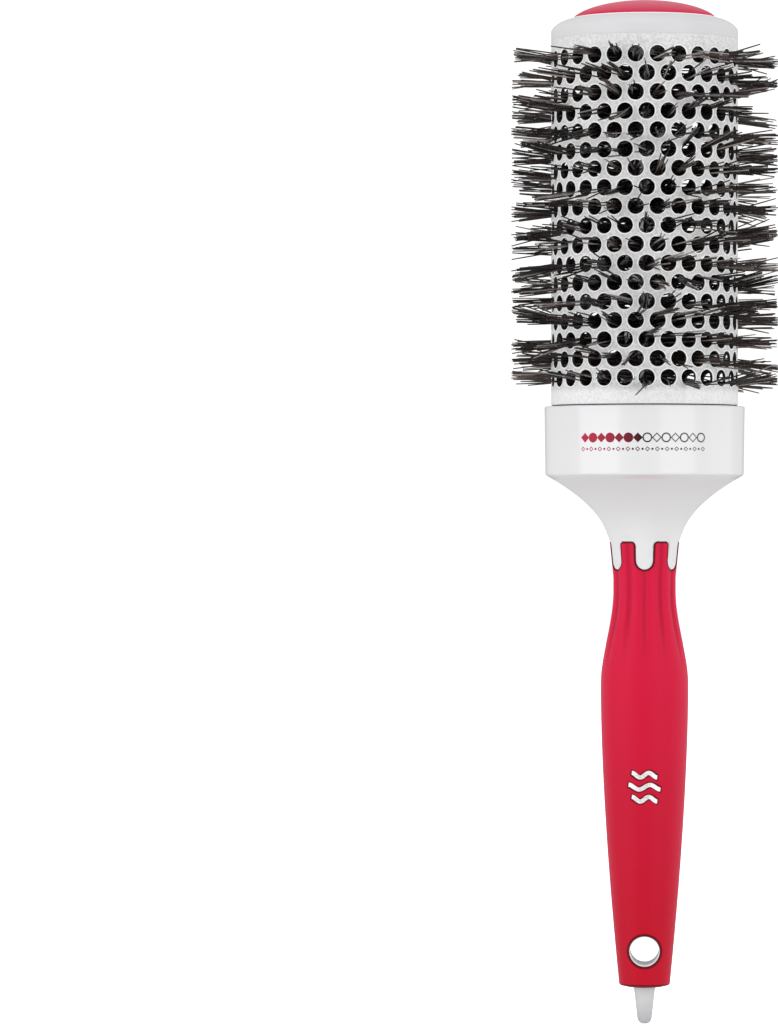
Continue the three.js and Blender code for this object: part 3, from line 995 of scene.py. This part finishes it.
def grip_skin(grip, rows, inset, edge):
    """Lays rows of angles and heights as a skin, with a patch round each end of the hang hole."""
    n = len(COLUMNS)
    beside = (np.arange(n) + PATCH_COLUMNS) % (n // 2) >= 2 * PATCH_COLUMNS
    # Crease marks paint shade into the creases.
    loops = [grip.loop(grip_ring(*row, inset), CREASE_SHADE * crease(*row)) for row in rows]
    inside = [within_patch(heights) for _, heights in rows]
    for i in range(len(rows) - 1):
        gap = inside[i] and inside[i + 1]
        grip.bridge(loops[i], loops[i + 1], keep=beside if gap else None)
    patch_rows = [loop for loop, within in zip(loops, inside) if within]
    holes = [hang_patch(grip, patch_rows, inset, edge, behind) for behind in (False, True)]
    return loops, holes


def soft_grip():
    """The red grip: a sleeve with tabs, creases and the hang hole's two openings."""
    grip = Builder()
    rows = [seam_curve(-SEAM_GAP - SHADE_BAND_WIDTH - SHADE_FADE)]
    rows += between(rows[0], level(STRAIGHT_TOP_Z), SEAM_LOOPS)
    rows += [level(z) for z in np.linspace(STRAIGHT_TOP_Z, PATCH_TOP_Z, STRAIGHT_ROWS + 1)[1:]]
    rows += [level(z) for z in np.linspace(PATCH_TOP_Z, PATCH_BOTTOM_Z, PATCH_ROWS + 1)[1:]]
    # The hole's edge rings are marked with painted shade.
    hole_edge = [
        (HANG_OPENING + HANG_SHADE_WIDTH + SHADE_FADE, 0.0, 0.0),
        (HANG_OPENING + HANG_SHADE_WIDTH, 0.0, 1.0),
        (HANG_OPENING + EDGE_ROUNDING / 3, EDGE_ROUNDING / 3, 1.0),
        (HANG_OPENING, EDGE_ROUNDING, 1.0),
        (HANG_OPENING, EDGE_DEPTH, 1.0),
    ]
    outer, outer_holes = grip_skin(grip, rows, 0.0, hole_edge)

    last = outer[0]
    # The seam's edge loops are marked with painted shade.
    seam_edge = [(SHADE_BAND_WIDTH, 0), (EDGE_ROUNDING, 0), (EDGE_ROUNDING / 3, EDGE_ROUNDING / 3), (0, EDGE_DEPTH)]
    for offset, inset in seam_edge:
        last = grip.extend(last, grip_ring(*seam_curve(-SEAM_GAP - offset), inset), 1.0)
    top_edge = last

    last = outer[-1]
    corner_z = GRIP_BOTTOM_Z + HEEL_RISE + HEEL_RADIUS
    heel_radius = float(outline(corner_z))
    corner = arc((heel_radius - HEEL_RADIUS, corner_z), HEEL_RADIUS, 0, -75, 8)
    underside = [
        (TIP_SOCKET + HEEL_FLAT, GRIP_BOTTOM_Z + HEEL_DISH),
        (TIP_SOCKET, GRIP_BOTTOM_Z),
        (TIP_SOCKET, SOCKET_TOP_Z),
    ]
    for radius, z in corner + underside:
        # The heel's underside is marked with painted shade.
        mark = float(z < corner_z - SHADE_FADE)
        last = grip.extend(last, polar(radius, COLUMNS, z), mark)

    inset = GRIP_SKIN - CORE_GAP
    inner, inner_holes = grip_skin(grip, rows, inset, [(HANG_OPENING, inset, 1.0)])
    grip.bridge(last, inner[-1])
    grip.bridge(inner[0], top_edge)
    for a, b in zip(outer_holes, inner_holes):
        grip.bridge(a, b)
    make_piece("soft_grip", grip, [RED_GRIP], ["grip"], smooth_angle=50)


FINGER_ROOT_Z = 131.0
FINGER_ROUNDING = 0.2
FINGER_BORDER = 0.45
FINGER_LOOPS = 8
COLLAR_CORNER_RADIUS = 0.8
COLLAR_CORNER_RISE = 0.36
COLLAR_LIP_RADIUS = 0.4
COLLAR_ROWS = 7
GROOVE_GAP = 0.2
GROOVE_CHAMFER = 0.2
SEAT_GAP = 0.15  # inside the barrel and under it
SPIGOT_WALL = 2
COLLAR_FLOOR_Z = 152.0
CONE_ROOT_Z = 142.0
SPIGOT_TOP_Z = 160.0
STEM_TOP_Z = FINGER_BOTTOM_Z - 3.5
STEM_ROWS = 24
TRUMPET_ROWS = 25
LINER_OVERLAP = 0.2  # how far the stem and the tip reach into the liner
LINER_SEGMENTS = 96
LINER_EDGE_DEPTH = 0.9
LINER_EDGE_ROUNDING = 0.1
LINER_LIP_ROUNDING = 0.14
TIP_SEGMENTS = 72
TIP_ROOT_RISE = 0.3


def finger_rings():
    """The core's skin from inside the grip, out at the seam and up over the fingers."""
    seam = seam_curve(SEAM_GAP)
    clear = seam_curve(SEAM_GAP + FINGER_BORDER)
    rings = [
        core_ring(*seam, GRIP_SKIN),
        core_ring(*seam, FINGER_DROP + EDGE_DEPTH),
        core_ring(*seam_curve(SEAM_GAP + FINGER_ROUNDING / 3), FINGER_DROP + FINGER_ROUNDING / 3),
        core_ring(*seam_curve(SEAM_GAP + FINGER_ROUNDING), FINGER_DROP),
        core_ring(*clear, FINGER_DROP),
    ]
    rows = between(clear, level(FINGER_ROOT_Z), FINGER_LOOPS)
    drops = FINGER_DROP * (1 - smoothstep(np.arange(1, len(rows) + 1), 0, len(rows)))
    return rings + [core_ring(*row, drop) for row, drop in zip(rows, drops)]


def collar_radius(z):
    """The collar's outer radius at height z."""
    share = (z - COLLAR_BOTTOM_Z) / COLLAR_HEIGHT
    return COLLAR_BOTTOM_RADIUS + COLLAR_DRAFT * share


def collar_profile():
    """The collar from its lower corner over its lip, down the barrel's groove and into the stem's bore."""
    corner_centre = (COLLAR_BOTTOM_RADIUS - COLLAR_CORNER_RADIUS, COLLAR_BOTTOM_Z + COLLAR_CORNER_RISE)
    corner = arc(corner_centre, COLLAR_CORNER_RADIUS, -60, 0, 8)
    heights = np.linspace(corner[-1][1], COLLAR_TOP_Z - COLLAR_LIP_RADIUS, COLLAR_ROWS + 1)[1:]
    side = [(collar_radius(z), z) for z in heights]
    lip_centre = (side[-1][0] - COLLAR_LIP_RADIUS, heights[-1])
    lip = arc(lip_centre, COLLAR_LIP_RADIUS, 0, 90, 6)[1:]
    groove_out = BARREL_RADIUS + GROOVE_GAP
    groove_in = BARREL_INSIDE - SEAT_GAP
    floor_z = low("barrel").z - SEAT_GAP
    inside = [
        (groove_out + GROOVE_CHAMFER, COLLAR_TOP_Z),
        (groove_out, COLLAR_TOP_Z - GROOVE_CHAMFER),
        (groove_out, floor_z),
        (groove_in, floor_z),
        (groove_in, high("handle_core").z),
        (groove_in - SPIGOT_WALL, high("handle_core").z),
        (groove_in - SPIGOT_WALL, COLLAR_FLOOR_Z),
        (STEM_BOSS, CONE_ROOT_Z),
        (STEM_BOSS, SPIGOT_TOP_Z),
        (STEM_BORE, SPIGOT_TOP_Z),
        (STEM_BORE, low("stem_wire_a").z),
    ]
    return corner + side + lip + inside


def core_moulding():
    """The white moulding: stem, fingers, trumpet, liner and tip in satin, and a polished collar."""
    core = Builder()
    stem_heights = np.linspace(HANG_Z + HANG_LINER - LINER_OVERLAP, STEM_TOP_Z, STEM_ROWS)
    stem = [core_ring(*level(z), GRIP_SKIN) for z in stem_heights]
    trumpet_heights = np.linspace(FINGER_ROOT_Z, TRUMPET_TOP_Z, TRUMPET_ROWS + 1)[1:]
    trumpet = [core_ring(*level(z)) for z in trumpet_heights]
    collar = [polar(radius, COLUMNS, z) for radius, z in collar_profile()]
    satin = core.loft(stem + finger_rings() + trumpet, material=1, cap_start=True)
    polished = core.loft(collar, cap_end=True)
    core.bridge(satin[-1], polished[0])
    liner(core)
    tail_tip(core)
    make_piece("core_moulding", core, [GLOSS_WHITE, SATIN_WHITE], ["handle_core"])


def liner(core):
    """The white tube that lines the hang hole, with a rounded lip at each end."""
    bearings = even_angles(LINER_SEGMENTS)
    edge, mouth = LINER_EDGE_ROUNDING, LINER_LIP_ROUNDING
    lip = [(HANG_LINER, LINER_EDGE_DEPTH), *rounded_corner((HANG_LINER, 0.0), -edge, edge, 2, 3)]
    lip += rounded_corner((HANG_BORE, 0.0), mouth, mouth, 2, 4)[::-1]

    def end(radius, inset, side):
        across = radius * np.sin(bearings)
        height = HANG_Z + radius * np.cos(bearings)
        depth = np.sqrt(outline(height) ** 2 - across**2) - inset
        return np.stack([across, -side * depth, height], axis=1)

    front = [end(radius, inset, 1) for radius, inset in lip]
    back = [end(radius, inset, -1) for radius, inset in lip[::-1]]
    core.loft(front + back, material=1, join=True)


def tail_tip(core):
    """The pale tip under the grip, tapered to a rounded end. Its end is marked darker as painted shade, and
    its root slightly, as painted shade under the grip.
    """
    rounded = arc((TIP_END - TIP_ROUNDING, TIP_ROUNDING), TIP_ROUNDING, -85, -5, 10)
    root = [(TIP_ROOT, GRIP_BOTTOM_Z + TIP_ROOT_RISE), (TIP_ROOT, HANG_Z - HANG_LINER + LINER_OVERLAP)]
    end = core.loft(lathe_rings(rounded, TIP_SEGMENTS), 1, mark=1.0, cap_start=True)
    neck = core.loft(lathe_rings(root, TIP_SEGMENTS), 1, mark=TIP_ROOT_SHADE, cap_end=True)
    core.bridge(end[-1], neck[0], 1)


# ---- Printed marks ----

PRINT_ROW_Z = 156.5
PRINT_ROW_HEIGHT = 2.6
PRINT_SHAPES = 14
SMALL_ROW_Z = 153.5
SMALL_ROW_HEIGHT = 1.3
SMALL_MARKS = 27
THIN_SIZE = 0.86  # of the thin shapes against the bold ones
THIN_LINE = 0.36
SMALL_LINE = 0.26
DOT_RADIUS = 0.3
DISC_CORNERS = 28
DOT_CORNERS = 12
LOZENGE_CORNERS = 4
INK_THICKNESS = 0.02
PRINT_ROOT = 0.1  # how far the prints' hidden edges reach into the surface
MARK_MIDDLE_Z = 63.8
LONG_WAVE = 4.3
SHORT_WAVE = 3.4
WAVE_POINTS = 33
WAVE_HEIGHT = 0.62
WAVE_COUNT = 1.5  # full waves in each line
WAVE_GAP = 3.2
WAVE_WIDTH = 1.1
WAVE_EDGE = 0.36


def inlay(marks, middle, z, radius, corners):
    """A thin raised disc, or a lozenge if it has four corners, on the collar."""
    across, up = np.array(circle(middle, z, radius, corners)).T
    face_radius = collar_radius(z) + INK_THICKNESS
    top = marks.loop(polar(face_radius, across / face_radius, up))
    base = marks.loop(polar(face_radius - PRINT_ROOT, across / face_radius, up))
    centre = marks.loop(polar(face_radius, [middle / face_radius], z))[0]
    marks.bridge(top, base)
    marks.face(base[::-1])
    for i in range(corners):
        marks.face([top[i], top[(i + 1) % corners], centre])


def stroke(marks, line, width, radius_at, proud=INK_THICKNESS, material=0, mark=0.0, closed=False):
    """A stroke along a line, laid as short quads so that it follows the curve of the surface."""
    line = np.array(line, float)
    if closed:
        along = np.roll(line, -1, axis=0) - np.roll(line, 1, axis=0)
    else:
        along = np.gradient(line, axis=0)
    along /= np.linalg.norm(along, axis=1)[:, None]
    side = np.stack([-along[:, 1], along[:, 0]], axis=1) * width / 2
    rings = []
    for edge, out in ((side, proud), (side, -PRINT_ROOT), (-side, -PRINT_ROOT), (-side, proud)):
        points = line + edge
        radius = radius_at(points[:, 1])
        rings.append(polar(radius + out, points[:, 0] / radius.mean(), points[:, 1]))
    sections = np.stack(rings, axis=1)
    marks.loft(list(sections), material, mark, join=closed, cap_start=not closed, cap_end=not closed)


def circle(middle, z, radius, steps):
    """Points round a circle, as (distance round the surface, height)."""
    angles = even_angles(steps)
    return [(middle + radius * math.sin(a), z + radius * math.cos(a)) for a in angles]


def print_places(count):
    """The numbers and middles of the marks that share out the printed band."""
    shares = (np.arange(count) + 0.5) / count
    return enumerate(PRINT_MIDDLE + PRINT_HALF_WIDTH * (2 * shares - 1))


def collar_print():
    """A printed band: bold discs and lozenges that give way to thin ones, over a row of smaller marks."""
    marks = Builder()
    size = PRINT_ROW_HEIGHT / 2
    for i, middle in print_places(PRINT_SHAPES):
        corners = DISC_CORNERS if i % 2 else LOZENGE_CORNERS
        if i < PRINT_SHAPES / 2:
            inlay(marks, middle, PRINT_ROW_Z, size, corners)
        else:
            ring = circle(middle, PRINT_ROW_Z, size * THIN_SIZE, corners)
            stroke(marks, ring, THIN_LINE, collar_radius, closed=True)
    for i, middle in print_places(SMALL_MARKS):
        if i % 2:
            inlay(marks, middle, SMALL_ROW_Z, DOT_RADIUS, DOT_CORNERS)
        else:
            ring = circle(middle, SMALL_ROW_Z, (SMALL_ROW_HEIGHT - SMALL_LINE) / 2, LOZENGE_CORNERS)
            stroke(marks, ring, SMALL_LINE, collar_radius, closed=True)
    make_piece("collar_print", marks, [INK])


def grip_mark():
    """A plain silver mark: three waves of air in a stack, each with a thin dark edge."""
    marks = Builder()
    t = np.linspace(-1, 1, WAVE_POINTS)
    wave = WAVE_HEIGHT * np.sin(math.pi * WAVE_COUNT * t)
    for rise, half in ((WAVE_GAP, SHORT_WAVE), (0.0, LONG_WAVE), (-WAVE_GAP, SHORT_WAVE)):
        line = np.stack([half * t, MARK_MIDDLE_Z + rise + wave], axis=1)
        stretched = line + np.stack([WAVE_EDGE * t, 0 * t], axis=1)
        stroke(marks, stretched, WAVE_WIDTH + 2 * WAVE_EDGE, outline, material=1, mark=1.0)
        stroke(marks, line, WAVE_WIDTH, outline, 2 * INK_THICKNESS)
    make_piece("grip_mark", marks, [SILVER, RED_GRIP])


# ---- Studio, in metres and degrees ----

SENSOR = 36
LENS = 183.66
CAMERA_PLACE = (0, -1.4, 0.1369)
CAMERA_TURN = 2.8
AIM = (0, 0, 0.14)
# Each light's name, bearing (right of the front is +), middle height, distance, width, height and power.
LIGHTS = (
    ("left_box", -54, 0.3, 1.3, 1.25, 1.5, 8.4),
    ("right_box", 39, 0.3, 1.3, 1.0, 1.5, 6.05),
    ("right_side_box", 100, 0.3, 1.3, 1.0, 1.5, 2.6),
    ("top_box", 0, 1.5, 0.2, 1.0, 1.0, 1.62),
)
ROOM_LIGHT = 0.815
DARK_BACK = 0.5
DARK_BACK_EDGE = 30
DARK_BACK_CORE = 12
BACKDROP = 1.1
FLOOR_RADIUS = 4
FLOOR_CORNERS = 96


def camera():
    """A long lens at the height of the brush's middle, turned so that the brush stands at the right."""
    lens = bpy.data.cameras.new("camera")
    lens.sensor_fit = "VERTICAL"
    lens.sensor_height = SENSOR
    lens.lens = LENS
    turn = (math.radians(90), 0, math.radians(CAMERA_TURN))
    bpy.context.scene.camera = add_object("camera", lens, CAMERA_PLACE, turn)


def softbox(name, bearing, height, distance, width, tall, power):
    """A large soft light that faces the brush."""
    light = bpy.data.lights.new(name, "AREA")
    light.shape = "RECTANGLE"
    light.size = width
    light.size_y = tall
    light.energy = power
    angle = math.radians(bearing)
    place = Vector((distance * math.sin(angle), -distance * math.cos(angle), height))
    aim = Vector(AIM) - place
    add_object(name, light, place, aim.to_track_quat("-Z", "Y").to_euler())


def white_room():
    """An even white surround, darker straight behind, that the camera sees as a plain white backdrop."""
    world = bpy.data.worlds.new("white_room")
    room = Tree(world)
    split = room.node("SeparateXYZ")
    room.link(room.node("TexCoord").outputs["Generated"], split.inputs["Vector"])
    edge, core = (math.cos(math.radians(angle)) for angle in (DARK_BACK_EDGE, DARK_BACK_CORE))
    strength = room.stretch(split.outputs["Y"], edge, core, ROOM_LIGHT, DARK_BACK, "SMOOTHSTEP")
    lit = room.node("Background", {"Color": (1, 1, 1, 1)})
    room.link(strength, lit.inputs["Strength"])
    seen = room.node("Background", {"Color": (1, 1, 1, 1), "Strength": BACKDROP})
    mix = room.node("MixShader")
    room.link(room.node("LightPath").outputs["Is Camera Ray"], mix.inputs["Fac"])
    room.link(lit.outputs["Background"], mix.inputs[1])
    room.link(seen.outputs["Background"], mix.inputs[2])
    room.link(mix.outputs["Shader"], room.nodes["World Output"].inputs["Surface"])
    bpy.context.scene.world = world


def floor():
    """A plain white floor."""
    disc = bpy.data.meshes.new("floor")
    angles = even_angles(FLOOR_CORNERS)
    corners = [(FLOOR_RADIUS * math.cos(a), FLOOR_RADIUS * math.sin(a), 0) for a in angles]
    disc.from_pydata(corners, [], [list(range(FLOOR_CORNERS))])
    made = add_object("floor", disc)
    paint = Look("floor_paint")
    paint.set(Base_Color=(0.9, 0.9, 0.9, 1), Roughness=0.8)
    paint.set(Emission_Color=(1, 1, 1, 1), Emission_Strength=0.8)
    disc.materials.append(paint.material)
    made.visible_diffuse = False
    made.visible_glossy = False


def studio():
    """Plain soft studio light, a white floor and a white backdrop."""
    for light in LIGHTS:
        softbox(*light)
    white_room()
    floor()
    bpy.context.scene.view_settings.view_transform = "Standard"


barrel_tube()
bristle_rows()
stem_wires()
end_cap()
dome()
soft_grip()
core_moulding()
collar_print()
grip_mark()
camera()
studio()
